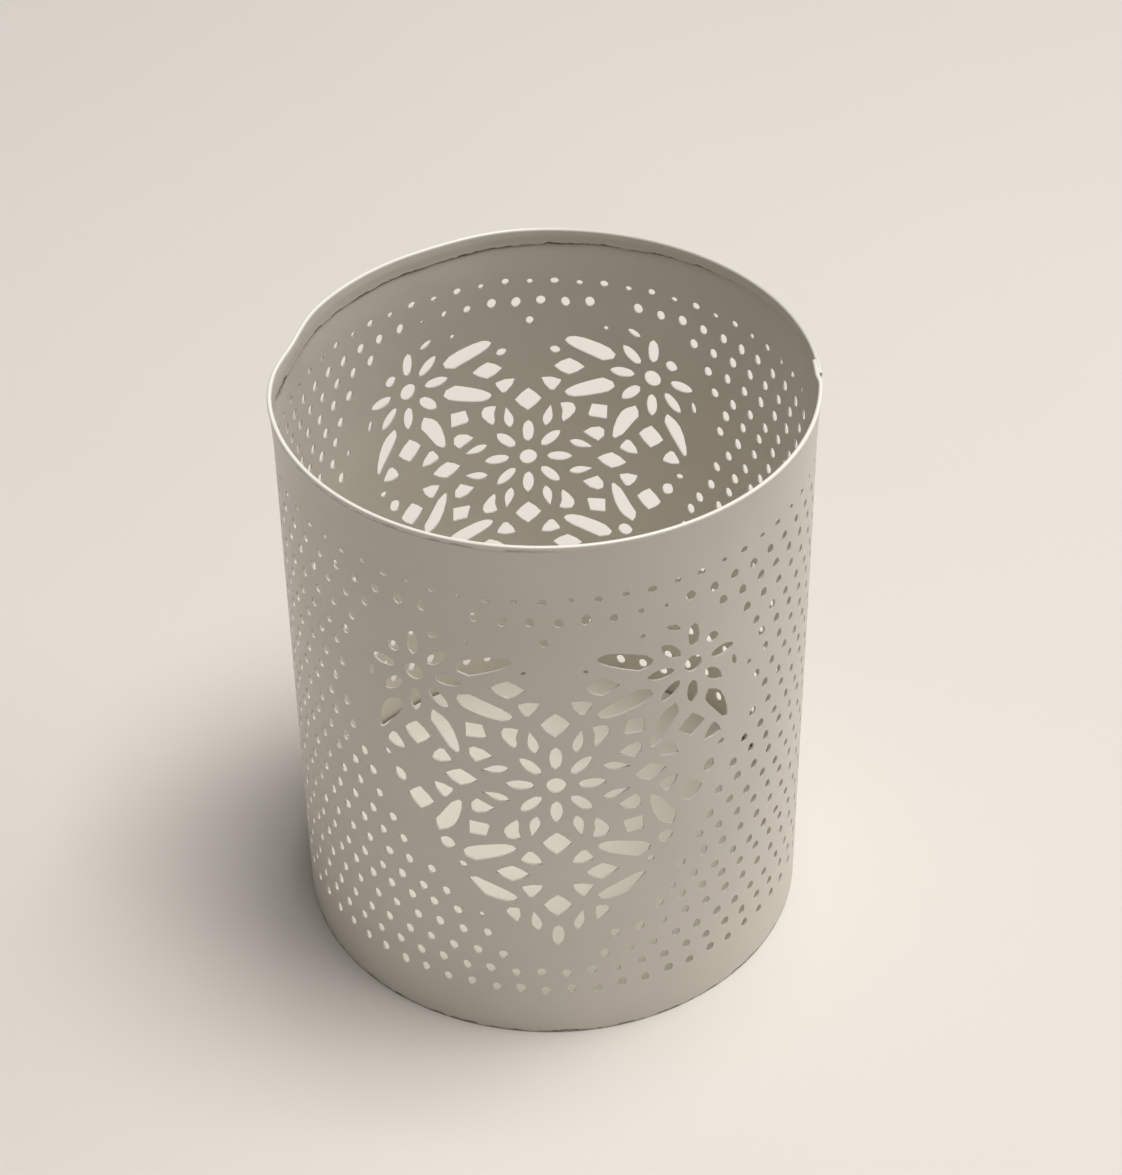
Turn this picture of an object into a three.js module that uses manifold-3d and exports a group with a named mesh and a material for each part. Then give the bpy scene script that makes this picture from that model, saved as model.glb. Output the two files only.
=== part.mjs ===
// Perforated sheet-metal candle holder: a rolled sleeve with a folded rim and two hearts of
// cut lace, and a pressed pan inside it as the floor that the candle stands on.
// Millimetres, +Z up. The origin is the middle of the foot, the front heart faces -Y.

import * as THREE from 'three';
import { mergeGeometries, mergeVertices } from 'three/addons/utils/BufferGeometryUtils.js';
import Module from 'manifold-3d';

// Sleeve
const outerRadius = 41.55;
const height = 100;
const sheetThickness = 0.4;
const lapLength = 3.5;
const lapAzimuth = 1.9;
const joggleLength = 2.5;

// Folded rim on a wall that flares out to it, its hem deepest opposite hemShallowAzimuth
const hemThickness = 0.42;
const hemDepth = 2.85;
const hemDepthSwing = 1.0;
const hemShallowAzimuth = 10;
const wallFlare = 0.4;
const wallFlareHeight = 8.5;
const rimRounding = 0.35;

// Floor pan
const floorHeight = 5.8;
const panThickness = 0.5;
const panBendRadius = 0.8;
const panBendSteps = 3;
const panClearance = 0.3;
const panFootClearance = 0.3;

// Heart panels, measured from the middle rosette of each heart
const frontHeartHeight = 54.15;
const backHeartHeight = 54.8;
const frontHeartAzimuth = 270.7;
const backHeartAzimuth = 93.9;
const heartHalfWidth = 29.9;
const heartTip = 35.2;
const heartLobeTop = 27.7;
const heartNotch = 17.5;

// Lace lattice: rosettes stand on a centred grid with this half cell
const latticeHalfWidth = 21.5;
const latticeHalfHeight = 18.7;
const discRadius = 1.5;
const discSides = 8;
const petalLength = 4.3;
const petalWidth = 1.9;
const petalOrbit = 5.45;
const teardropLength = 3.9;
const teardropWidth = 1.6;
const smallestCutArea = 1.9;
const shortestCutEdge = 0.7;

// Dot field: one dot in dotStep columns and rows is cut, the field between is left plain
const dotDiameter = 1.5;
const dotSides = 4;
const dotStep = 2;
const columnsBetweenHearts = 31;
const dotRowPitch = 3.815;
const topBand = 10.1;
const bottomBand = 9.5;
const heartMargin = 4.1;
const seamMargin = 6.2;

const sheetPaint = { color: 0xd9d2c4, roughness: 0.62, metalness: 0.0 };
const panPaint = { color: 0xd6cebf, roughness: 0.6, metalness: 0.0 };

const wasm = await Module();
wasm.setup();

const degrees = Math.PI / 180;
const innerRadius = outerRadius - sheetThickness;
const lapAngle = lapLength / outerRadius / degrees;
const outerEndAzimuth = lapAzimuth - lapAngle / 2;
const innerEndAzimuth = lapAzimuth + lapAngle / 2;
const joggleAngle = joggleLength / outerRadius / degrees;
const hearts = [
  { azimuth: frontHeartAzimuth, height: frontHeartHeight },
  { azimuth: backHeartAzimuth, height: backHeartHeight },
];
const columnAngle = (frontHeartAzimuth - backHeartAzimuth) / columnsBetweenHearts;

// Manifold solids from three.js geometry, and back
function toSolid(geometry) {
  const bare = geometry.clone();
  bare.deleteAttribute('normal');
  bare.deleteAttribute('uv');
  const merged = mergeVertices(bare, 1e-5);
  const mesh = new wasm.Mesh({
    numProp: 3,
    vertProperties: new Float32Array(merged.attributes.position.array),
    triVerts: new Uint32Array(merged.index.array),
  });
  return new wasm.Manifold(mesh);
}

function toGeometry(solid) {
  const mesh = solid.getMesh();
  const geometry = new THREE.BufferGeometry();
  geometry.setAttribute('position', new THREE.BufferAttribute(mesh.vertProperties, 3));
  geometry.setIndex(new THREE.BufferAttribute(mesh.triVerts, 1));
  geometry.computeVertexNormals();
  return geometry;
}

function polar(radius, azimuth) {
  return new THREE.Vector2(radius * Math.cos(azimuth * degrees), radius * Math.sin(azimuth * degrees));
}

// Facet edges of the rolled sheet, halfway between the dot columns so that no dot lies on one
function facetAzimuths(from, to) {
  const first = backHeartAzimuth + columnAngle / 2;
  const start = Math.ceil((from - first) / columnAngle + 0.2);
  const edges = [];
  for (let i = start; first + i * columnAngle < to; i += 1) {
    edges.push(first + i * columnAngle);
  }
  return edges;
}

// Plan of one face of the sheet: a full turn from the lap's step at stepAzimuth, which ends
// one sheet thickness further in, under the start of the turn
function planContour(radius, stepAzimuth) {
  const joggleEnd = outerEndAzimuth + 360;
  const joggleStart = joggleEnd - joggleAngle;
  const lowered = radius - sheetThickness;
  const points = [polar(radius, stepAzimuth)];
  for (const azimuth of facetAzimuths(stepAzimuth, joggleStart)) {
    points.push(polar(radius, azimuth));
  }
  points.push(polar(radius, joggleStart), polar(lowered, joggleEnd));
  if (stepAzimuth > outerEndAzimuth) {
    points.push(polar(lowered, lapAzimuth + 360), polar(lowered, stepAzimuth + 360));
  }
  return points;
}

// A solid with flat ends that follows the sheet's plan at each level, given as [radius, z]
function lofted(levels, stepAzimuth) {
  const rings = levels.map(([radius]) => planContour(radius, stepAzimuth));
  const sides = rings[0].length;
  const points = rings.flatMap((ring, i) => ring.map((p) => new THREE.Vector3(p.x, p.y, levels[i][1])));
  const index = [];
  for (let first = 0; first + sides < points.length; first += sides) {
    for (let i = 0; i < sides; i += 1) {
      const here = first + i;
      const next = first + (i + 1) % sides;
      index.push(here, next, here + sides, next, next + sides, here + sides);
    }
  }
  const top = points.length - sides;
  for (const [a, b, c] of THREE.ShapeUtils.triangulateShape(rings[0], [])) {
    index.push(c, b, a, top + a, top + b, top + c);
  }
  const geometry = new THREE.BufferGeometry().setFromPoints(points);
  geometry.setIndex(index);
  return toSolid(geometry);
}

// Levels of one face of the sheet, from foot to rim, in the flare that both its faces share
function wallLevels(radius, foot) {
  return [[radius, foot], [radius, height - wallFlareHeight], [radius + wallFlare, height]];
}

// The sheet's outer face with its rounded rim
function drum() {
  const rimRadius = outerRadius + wallFlare;
  const belowRounding = height - rimRounding;
  const [foot, flareFoot] = wallLevels(outerRadius, 0);
  const rim = [[rimRadius, belowRounding], [rimRadius - rimRounding, height]];
  return lofted([foot, flareFoot, ...rim], outerEndAzimuth);
}

// The space inside the folded hem, taken down past the foot and up past the rim
function hemBore() {
  const hemRadius = innerRadius - hemThickness;
  const aboveRim = [hemRadius + wallFlare, height + rimRounding];
  return lofted([...wallLevels(hemRadius, -rimRounding), aboveRim], innerEndAzimuth);
}

// The space inside the wall, taken down past the foot and up to the hem's slanting lower edge
function wallBore() {
  const size = 4 * outerRadius + height;
  const aboveHem = new THREE.BoxGeometry(size, size, size);
  aboveHem.translate(0, 0, size / 2);
  aboveHem.rotateY(-Math.atan(hemDepthSwing / innerRadius));
  aboveHem.rotateZ(hemShallowAzimuth * degrees);
  aboveHem.translate(0, 0, height - hemDepth);
  const bore = lofted(wallLevels(innerRadius, -rimRounding), innerEndAzimuth);
  return bore.subtract(toSolid(aboveHem));
}

function sleeveBlank() {
  return drum().subtract(hemBore()).subtract(wallBore());
}

// Heart outline as two curves a side, from the notch over the lobe to the tip
function heartOutline(pointsPerCurve) {
  const shape = new THREE.Shape();
  const lobeX = heartHalfWidth * 0.51;
  const sideZ = heartLobeTop * 0.47;
  shape.moveTo(0, -heartTip);
  shape.bezierCurveTo(heartHalfWidth * 0.32, -heartTip * 0.81, heartHalfWidth * 0.92, -heartTip * 0.285,
    heartHalfWidth, sideZ);
  shape.bezierCurveTo(heartHalfWidth, heartLobeTop * 0.83, heartHalfWidth * 0.78, heartLobeTop,
    lobeX, heartLobeTop);
  shape.bezierCurveTo(heartHalfWidth * 0.25, heartLobeTop, heartHalfWidth * 0.12, heartNotch * 1.25,
    0, heartNotch);
  shape.bezierCurveTo(-heartHalfWidth * 0.12, heartNotch * 1.25, -heartHalfWidth * 0.25, heartLobeTop,
    -lobeX, heartLobeTop);
  shape.bezierCurveTo(-heartHalfWidth * 0.78, heartLobeTop, -heartHalfWidth, heartLobeTop * 0.83,
    -heartHalfWidth, sideZ);
  shape.bezierCurveTo(-heartHalfWidth * 0.92, -heartTip * 0.285, -heartHalfWidth * 0.32, -heartTip * 0.81,
    0, -heartTip);
  const points = shape.getPoints(pointsPerCurve);
  points.pop();
  return points;
}

function pointsOf(pairs) {
  return pairs.map(([x, z]) => new THREE.Vector2(x, z));
}

// An outline given in hundredths of the lattice's half cell
function inCell(pairs) {
  return pointsOf(pairs.map(([x, z]) => [x * latticeHalfWidth / 100, z * latticeHalfHeight / 100]));
}

// A regular outline with the same area as the round hole that it stands for
function roundHole(radius, sides) {
  const corner = radius * Math.sqrt(2 * Math.PI / (sides * Math.sin(2 * Math.PI / sides)));
  const points = [];
  for (let i = 0; i < sides; i += 1) {
    points.push(polar(corner, (i + 0.5) * 360 / sides));
  }
  return points;
}

// A long oval: two tips and two shoulders on each side
function leaf(x, z, length, width, angle) {
  const shoulder = length * 0.3;
  const outline = pointsOf([
    [length / 2, 0], [shoulder, width / 2], [-shoulder, width / 2],
    [-length / 2, 0], [-shoulder, -width / 2], [shoulder, -width / 2],
  ]);
  const middle = new THREE.Vector2(x, z);
  return outline.map((point) => point.rotateAround(new THREE.Vector2(), angle * degrees).add(middle));
}

// A drop: a point at the far end and a blunt near end
function teardrop(x, z, angle) {
  const outline = pointsOf([
    [teardropLength / 2, 0], [-teardropLength * 0.15, teardropWidth / 2],
    [-teardropLength / 2, 0], [-teardropLength * 0.15, -teardropWidth / 2],
  ]);
  const middle = new THREE.Vector2(x, z);
  return outline.map((point) => point.rotateAround(new THREE.Vector2(), angle * degrees).add(middle));
}

// Every way that a shape drawn in the upper right quarter is mirrored into all four
function fourWays(outline) {
  const mirrors = [[1, 1], [-1, 1], [-1, -1], [1, -1]];
  return mirrors.map(([sx, sz]) => outline.map((point) => new THREE.Vector2(point.x * sx, point.y * sz)));
}

function rosette() {
  const shapes = [roundHole(discRadius, discSides)];
  for (let i = 0; i < 8; i += 1) {
    const middle = polar(petalOrbit, i * 45);
    shapes.push(leaf(middle.x, middle.y, petalLength, petalWidth, i * 45));
  }
  return shapes;
}

function dropRosette() {
  const steepDrop = teardrop(latticeHalfWidth * 0.16, latticeHalfHeight * 0.45, 79);
  const flatDrop = teardrop(latticeHalfWidth * 0.42, latticeHalfHeight * 0.145, -14);
  const upperPad = inCell([[26, 58], [36, 58], [37, 49], [28, 39]]);
  const sidePad = inCell([[44, 28], [57, 36], [61, 30], [56, 20]]);
  const square = inCell([[49, 47], [62, 46], [62.5, 60], [50, 60]]);
  return [...rosette(), ...[steepDrop, flatDrop, upperPad, sidePad, square].flatMap(fourWays)];
}

function lozengeRosette() {
  const flatLozenge = inCell([[68, 30], [55, 32], [36, 24], [31, 16], [40, 10], [54, 18.5]]);
  const steepLozenge = inCell([[14, 34.5], [10.5, 47], [20, 60], [30, 73], [31, 61], [25, 41]]);
  return [...rosette(), ...fourWays(flatLozenge), ...fourWays(steepLozenge)];
}

function openCross() {
  const side = inCell([[21, 0], [32.5, -9], [44, 0], [32.5, 9]]);
  const top = inCell([[-11, 35], [0, 23], [11, 35], [0, 47]]);
  const corner = inCell([[11, 12.5], [25, 16], [19, 26]]);
  const turned = (outline) => outline.map((point) => point.clone().negate());
  return [side, turned(side), top, turned(top), ...fourWays(corner)];
}

function areaOf(outline) {
  return THREE.ShapeUtils.area(outline);
}

function counterClockwise(outline) {
  return areaOf(outline) < 0 ? [...outline].reverse() : outline;
}

// The part of subject inside the convex outline clip
function clipped(subject, clip) {
  let result = subject;
  const edges = counterClockwise(clip);
  edges.forEach((from, i) => {
    const to = edges[(i + 1) % edges.length];
    const side = (p) => (to.x - from.x) * (p.y - from.y) - (to.y - from.y) * (p.x - from.x);
    const kept = [];
    result.forEach((point, j) => {
      const next = result[(j + 1) % result.length];
      const here = side(point);
      const there = side(next);
      if (here >= 0) {
        kept.push(point);
      }
      if (here * there < 0) {
        kept.push(point.clone().lerp(next, here / (here - there)));
      }
    });
    result = kept;
  });
  return result;
}

// Drops points that stand nearly on their neighbour or on the line between two
function simplified(outline) {
  const spaced = outline.filter((point, i) => {
    const before = outline[(i + outline.length - 1) % outline.length];
    return point.distanceTo(before) > shortestCutEdge;
  });
  return spaced.filter((point, i) => {
    const before = spaced[(i + spaced.length - 1) % spaced.length];
    const after = spaced[(i + 1) % spaced.length];
    return Math.abs(areaOf([before, point, after])) > shortestCutEdge * shortestCutEdge / 4;
  });
}

// Lace of one heart: the lattice's motifs, cut off at the heart's outline
function laceShapes() {
  const heart = counterClockwise(heartOutline(10));
  const motifs = [
    [dropRosette(), [[0, 0], [0, -2], [0, 2], [2, 0], [-2, 0]]],
    [lozengeRosette(), [[1, 1], [-1, 1], [1, -1], [-1, -1]]],
    [openCross(), [[1, 0], [-1, 0], [0, 1], [0, -1]]],
  ];
  const shapes = [];
  for (const [outlines, places] of motifs) {
    for (const [column, row] of places) {
      const place = new THREE.Vector2(column * latticeHalfWidth, row * latticeHalfHeight);
      for (const outline of outlines) {
        const moved = outline.map((point) => point.clone().add(place));
        const shape = simplified(clipped(heart, moved));
        if (shape.length > 2 && Math.abs(areaOf(shape)) > smallestCutArea) {
          shapes.push(shape);
        }
      }
    }
  }
  return shapes;
}

// A straight punch through the wall, its outline given on the unrolled sheet about azimuth
function punch(outline, azimuth, z) {
  const box = new THREE.Box2().setFromPoints(outline);
  const middle = box.getCenter(new THREE.Vector2());
  const shape = new THREE.Shape(outline.map((point) => point.clone().sub(middle)));
  const depth = 4 * (sheetThickness + hemThickness);
  const geometry = new THREE.ExtrudeGeometry(shape, { depth, bevelEnabled: false });
  geometry.translate(0, 0, -depth / 2);
  const turn = azimuth * degrees + middle.x / outerRadius;
  const outward = new THREE.Vector3(Math.cos(turn), Math.sin(turn), 0);
  const sideways = new THREE.Vector3(-Math.sin(turn), Math.cos(turn), 0);
  const up = new THREE.Vector3(0, 0, 1);
  geometry.applyMatrix4(new THREE.Matrix4().makeBasis(sideways, up, outward));
  const reach = outerRadius - sheetThickness / 2;
  return geometry.translate(outward.x * reach, outward.y * reach, z + middle.y);
}

function heartPunches(heart) {
  return laceShapes().map((outline) => punch(outline, heart.azimuth, heart.height));
}

// How far a place on the sheet is from the nearest heart outline, negative inside it
function heartDistance(azimuth, z, outline) {
  let nearest = Infinity;
  for (const heart of hearts) {
    const turn = THREE.MathUtils.euclideanModulo(azimuth - heart.azimuth + 180, 360) - 180;
    const point = new THREE.Vector2(turn * degrees * outerRadius, z - heart.height);
    let crossings = 0;
    let gap = Infinity;
    outline.forEach((from, i) => {
      const to = outline[(i + 1) % outline.length];
      gap = Math.min(gap, point.distanceTo(from));
      const spans = (from.y > point.y) !== (to.y > point.y);
      if (spans && point.x < from.x + (to.x - from.x) * (point.y - from.y) / (to.y - from.y)) {
        crossings += 1;
      }
    });
    nearest = Math.min(nearest, crossings % 2 ? -gap : gap);
  }
  return nearest;
}

function dotPunches() {
  const dot = roundHole(dotDiameter / 2, dotSides);
  const outline = heartOutline(24);
  const rows = Math.floor((height - topBand - bottomBand) / dotRowPitch) + 1;
  const firstColumn = Math.ceil((lapAzimuth - backHeartAzimuth) / columnAngle);
  const lastColumn = Math.floor((lapAzimuth + 360 - backHeartAzimuth) / columnAngle);
  const seamHalfAngle = seamMargin / outerRadius / degrees;
  const punches = [];
  for (let row = 0; row < rows; row += dotStep) {
    const z = height - topBand - row * dotRowPitch;
    const shift = (row / dotStep) % 2;
    for (let column = firstColumn + shift; column <= lastColumn; column += dotStep) {
      const azimuth = backHeartAzimuth + column * columnAngle;
      const turn = THREE.MathUtils.euclideanModulo(azimuth - lapAzimuth + 180, 360) - 180;
      const clearOfSeam = Math.abs(turn) > seamHalfAngle;
      if (clearOfSeam && heartDistance(azimuth, z, outline) > heartMargin) {
        punches.push(punch(dot, azimuth, z));
      }
    }
  }
  return punches;
}

function makeSleeve() {
  const punches = [...hearts.flatMap(heartPunches), ...dotPunches()];
  const cut = sleeveBlank().subtract(toSolid(mergeGeometries(punches)));
  const mesh = new THREE.Mesh(toGeometry(cut), new THREE.MeshStandardMaterial(sheetPaint));
  mesh.name = 'sleeve';
  return mesh;
}

// Levels of one face of the pan: its skirt and the quarter bend into its flat floor
function panLevels(radius, bendRadius, foot, floor) {
  const levels = [[radius, foot]];
  for (let i = 0; i <= panBendSteps; i += 1) {
    const turn = (i / panBendSteps) * Math.PI / 2;
    levels.push([
      radius - bendRadius * (1 - Math.cos(turn)),
      floor - bendRadius * (1 - Math.sin(turn)),
    ]);
  }
  return levels;
}

// The pan follows the sheet's plan all round, so it steps in at the lap as well
function makeFloorPan() {
  const panRadius = innerRadius - panClearance;
  const stepAzimuth = innerEndAzimuth + panClearance / innerRadius / degrees;
  const outside = panLevels(panRadius, panBendRadius, panFootClearance, floorHeight);
  const inside = panLevels(panRadius - panThickness, panBendRadius - panThickness,
    -panThickness, floorHeight - panThickness);
  const pan = lofted(outside, stepAzimuth).subtract(lofted(inside, stepAzimuth));
  const mesh = new THREE.Mesh(toGeometry(pan), new THREE.MeshStandardMaterial(panPaint));
  mesh.name = 'floor_pan';
  return mesh;
}

const candleHolder = new THREE.Group();
candleHolder.add(makeSleeve(), makeFloorPan());

export default candleHolder;
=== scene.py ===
"""Looks of a perforated sheet-metal candle holder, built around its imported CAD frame."""

import math
import random

import bpy
from bpy.props import FloatProperty, FloatVectorProperty, IntProperty, PointerProperty
from mathutils import Matrix, Vector
from mathutils.noise import noise


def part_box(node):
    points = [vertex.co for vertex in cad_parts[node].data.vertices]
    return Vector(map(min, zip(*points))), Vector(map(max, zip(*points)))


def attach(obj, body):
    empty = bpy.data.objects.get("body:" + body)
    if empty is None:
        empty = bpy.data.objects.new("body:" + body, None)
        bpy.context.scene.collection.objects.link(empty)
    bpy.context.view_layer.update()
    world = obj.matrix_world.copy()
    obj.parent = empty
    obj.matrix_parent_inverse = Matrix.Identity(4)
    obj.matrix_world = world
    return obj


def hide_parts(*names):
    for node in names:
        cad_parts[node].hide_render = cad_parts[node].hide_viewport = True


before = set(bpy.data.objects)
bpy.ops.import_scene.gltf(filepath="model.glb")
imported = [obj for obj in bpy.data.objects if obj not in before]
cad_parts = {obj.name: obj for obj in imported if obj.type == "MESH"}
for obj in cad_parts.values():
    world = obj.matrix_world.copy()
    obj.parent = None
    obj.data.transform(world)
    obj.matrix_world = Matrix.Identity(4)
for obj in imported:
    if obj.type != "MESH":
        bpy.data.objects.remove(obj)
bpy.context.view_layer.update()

bl_info = {
    "name": "Lace candle holder",
    "version": (1, 0, 0),
    "blender": (4, 5, 0),
    "location": "3D View > Sidebar > Candle holder",
    "description": "Builds a rolled and pierced candle sleeve, its floor pan and a studio round it",
    "category": "Add Mesh",
}

MM = 0.001
ROOT_BODY = "root"

sleeve_low, sleeve_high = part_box("sleeve")
pan_low, pan_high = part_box("floor_pan")
SLEEVE_HEIGHT = sleeve_high.z - sleeve_low.z
RIM_RADIUS = min(sleeve_high.x, sleeve_high.y, -sleeve_low.x, -sleeve_low.y)
RIM_FLARE = 0.4 * MM
RIM_BEAD = 0.1 * MM
PAN_RADIUS = -pan_low.x
SAME_PLACE = 0.001 * MM
SMOOTH_ANGLE = math.radians(32)


# Settings

class HolderSleeveSettings(bpy.types.PropertyGroup):
    """Sizes and paint of the rolled sleeve."""

    radius: FloatProperty(
        name="Outside radius", description="Radius of the rolled wall's outer face",
        default=RIM_RADIUS - RIM_FLARE - RIM_BEAD, unit="LENGTH")
    height: FloatProperty(
        name="Height", description="Foot to folded rim", default=SLEEVE_HEIGHT, unit="LENGTH")
    thickness: FloatProperty(
        name="Sheet thickness", description="Thickness of the metal sheet",
        default=0.3 * MM, unit="LENGTH")
    lap: FloatProperty(
        name="Lap", description="How far the sheet's outer end overlaps its inner end",
        default=3.5 * MM, unit="LENGTH")
    lap_azimuth: FloatProperty(
        name="Lap azimuth", description="Where the middle of the lap stands, in degrees from +X",
        default=1.9)
    joggle: FloatProperty(
        name="Joggle", description="Length over which the inner end steps in under the outer end",
        default=2.5 * MM, unit="LENGTH")
    hem_slit: FloatProperty(
        name="Hem slit", description="Gap left inside the folded hem",
        default=0.05 * MM, unit="LENGTH")
    hem_depth: FloatProperty(
        name="Hem depth", description="Mean depth of the hem below the rim",
        default=2.85 * MM, unit="LENGTH")
    hem_swing: FloatProperty(
        name="Hem swing", description="How much deeper or shallower the hem gets round the rim",
        default=1.0 * MM, unit="LENGTH")
    hem_shallow_azimuth: FloatProperty(
        name="Hem shallow azimuth", description="Where the hem is shallowest, in degrees from +X",
        default=10.0)
    flare: FloatProperty(
        name="Flare", description="How far the wall opens out towards the folded rim",
        default=RIM_FLARE, unit="LENGTH")
    flare_height: FloatProperty(
        name="Flare height", description="Height of the flaring part",
        default=8.5 * MM, unit="LENGTH")
    bead: FloatProperty(
        name="Bead", description="How far the folded rim bulges out over the flare",
        default=RIM_BEAD, unit="LENGTH")
    bead_height: FloatProperty(
        name="Bead height", description="Height of the bulging rim",
        default=0.85 * MM, unit="LENGTH")
    dent: FloatProperty(
        name="Dent", description="How far the rim is pushed in at the left of the back",
        default=1.05 * MM, unit="LENGTH")
    pinch: FloatProperty(
        name="Pinch", description="How much further it is pushed in at the dent's end",
        default=0.65 * MM, unit="LENGTH")
    foot_lift: FloatProperty(
        name="Foot lift", description="How far the uneven lower edge rises off the table",
        default=0.25 * MM, unit="LENGTH")
    paint: FloatVectorProperty(
        name="Paint", description="Colour of the matt paint", subtype="COLOR",
        size=3, min=0.0, max=1.0, default=(0.71, 0.665, 0.585))


class HolderLaceSettings(bpy.types.PropertyGroup):
    """Sizes of the two hearts of cut lace and of the dots round them."""

    front_azimuth: FloatProperty(
        name="Front heart azimuth", description="Middle of the front heart, in degrees from +X",
        default=271.0)
    back_azimuth: FloatProperty(
        name="Back heart azimuth", description="Middle of the back heart, in degrees from +X",
        default=94.2)
    front_height: FloatProperty(
        name="Front heart height", description="Height of the front heart's middle rosette",
        default=54.3 * MM, unit="LENGTH")
    back_height: FloatProperty(
        name="Back heart height", description="Height of the back heart's middle rosette",
        default=54.55 * MM, unit="LENGTH")
    half_width: FloatProperty(
        name="Heart half width", description="Half the width of a heart",
        default=29.9 * MM, unit="LENGTH")
    tip: FloatProperty(
        name="Heart tip", description="Depth of the tip below the middle rosette",
        default=35.2 * MM, unit="LENGTH")
    lobe_top: FloatProperty(
        name="Heart lobe top", description="Height of the lobes above the middle rosette",
        default=27.7 * MM, unit="LENGTH")
    notch: FloatProperty(
        name="Heart notch", description="Height of the notch above the middle rosette",
        default=17.5 * MM, unit="LENGTH")
    cell_half_width: FloatProperty(
        name="Lattice half width", description="Half the width of a lattice cell",
        default=21.5 * MM, unit="LENGTH")
    cell_half_height: FloatProperty(
        name="Lattice half height", description="Half the height of a lattice cell",
        default=18.7 * MM, unit="LENGTH")
    smallest_share: FloatProperty(
        name="Smallest share", description="Share of a shape that has to lie inside the heart",
        default=0.45, min=0.0, max=1.0)
    corner_radius: FloatProperty(
        name="Corner rounding", description="How far the corners of a cut-out are rounded back",
        default=0.42 * MM, unit="LENGTH")
    dot_diameter: FloatProperty(
        name="Dot diameter", description="Width of a full dot", default=1.55 * MM, unit="LENGTH")
    dot_stretch: FloatProperty(
        name="Dot stretch", description="Height of a dot over its width", default=1.17, min=0.1)
    column_pitch: FloatProperty(
        name="Column pitch", description="Distance from one dot of a row to the next",
        default=4.078 * MM, unit="LENGTH")
    columns: IntProperty(
        name="Columns", description="Dot columns from the back heart to the front one",
        default=31, min=8)
    stretch: FloatProperty(
        name="Stretch", description="How far the columns are drawn together beside a heart",
        default=0.306 * MM, unit="LENGTH")
    back_rise: FloatProperty(
        name="Back rise", description="How much higher the dots stand at the back",
        default=0.5 * MM, unit="LENGTH")
    front_notch_share: FloatProperty(
        name="Front notch share",
        description="Size of the two cuts at the front heart's notch, over the back heart's",
        default=0.45, min=0.1, max=1.0)
    back_lean: FloatProperty(
        name="Back lean", description="Lean of the back heart and of the dots beside it",
        default=0.016)
    back_drop: FloatProperty(
        name="Back drop", description="How far the dots beside the back heart stand low",
        default=0.15 * MM, unit="LENGTH")
    seam_margin: FloatProperty(
        name="Seam margin", description="Plain margin on each side of the lap's middle",
        default=6.2 * MM, unit="LENGTH")


class HolderPanSettings(bpy.types.PropertyGroup):
    """Sizes and paint of the floor pan."""

    radius: FloatProperty(
        name="Radius", description="Outside radius of the pan's skirt",
        default=PAN_RADIUS, unit="LENGTH")
    floor_height: FloatProperty(
        name="Floor height", description="Height of the floor above the foot",
        default=pan_high.z, unit="LENGTH")
    foot_gap: FloatProperty(
        name="Foot gap", description="Height of the skirt's lower edge",
        default=pan_low.z, unit="LENGTH")
    thickness: FloatProperty(
        name="Sheet thickness", description="Thickness of the pressed sheet",
        default=0.5 * MM, unit="LENGTH")
    bend: FloatProperty(
        name="Bend radius", description="Outside radius of the bent edge",
        default=0.8 * MM, unit="LENGTH")
    back_spread: FloatProperty(
        name="Back spread", description="How far the pan's edge is pressed out at the back",
        default=0.16 * MM, unit="LENGTH")
    paint: FloatVectorProperty(
        name="Paint", description="Colour of the matt paint", subtype="COLOR",
        size=3, min=0.0, max=1.0, default=(0.72, 0.69, 0.60))


class HolderStageSettings(bpy.types.PropertyGroup):
    """Studio round the candle holder."""

    table: FloatVectorProperty(
        name="Table", description="Colour of the surface that it stands on", subtype="COLOR",
        size=3, min=0.0, max=1.0, default=(0.84, 0.785, 0.715))
    lamp_distance: FloatProperty(
        name="Lamp distance", description="Distance of the lamps from the holder",
        default=1.3, unit="LENGTH")
    key_power: FloatProperty(
        name="Key power", description="Power of the high soft lamp", default=12.5, unit="POWER")
    key_azimuth: FloatProperty(
        name="Key azimuth", description="Direction of the high lamp, in degrees from +X",
        default=-5.0)
    key_elevation: FloatProperty(
        name="Key elevation", description="Height of the high lamp over the table, in degrees",
        default=79.0)
    key_size: FloatProperty(
        name="Key size", description="Width of the high lamp", default=0.55, unit="LENGTH")
    side_power: FloatProperty(
        name="Side power", description="Power of the window side lamp", default=3.0, unit="POWER")
    side_azimuth: FloatProperty(
        name="Side azimuth", description="Direction of the side lamp, in degrees from +X",
        default=15.0)
    side_elevation: FloatProperty(
        name="Side elevation", description="Height of the side lamp over the table, in degrees",
        default=35.0)
    side_size: FloatProperty(
        name="Side size", description="Width of the side lamp", default=0.9, unit="LENGTH")
    fill: FloatProperty(
        name="Fill", description="Strength of the even light from all round", default=0.18)
    lens: FloatProperty(
        name="Lens", description="Focal length of the camera", default=88.0, unit="CAMERA")


# Selection helpers

def deselect_all():
    if bpy.context.object and bpy.context.object.mode != "OBJECT":
        bpy.ops.object.mode_set(mode="OBJECT")
    bpy.ops.object.select_all(action="DESELECT")


def make_active(obj):
    deselect_all()
    obj.select_set(True)
    bpy.context.view_layer.objects.active = obj


def edit_mode(obj, select="DESELECT", kind="VERT"):
    make_active(obj)
    bpy.ops.object.mode_set(mode="EDIT")
    bpy.ops.mesh.select_mode(type=kind)
    bpy.ops.mesh.select_all(action=select)


def object_mode():
    bpy.ops.object.mode_set(mode="OBJECT")


def edit_faces(obj, chosen):
    """Enters edit mode with only the faces selected that chosen accepts."""
    edit_mode(obj, kind="FACE")
    object_mode()
    for face in obj.data.polygons:
        face.select = chosen(face)
    bpy.ops.object.mode_set(mode="EDIT")


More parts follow.
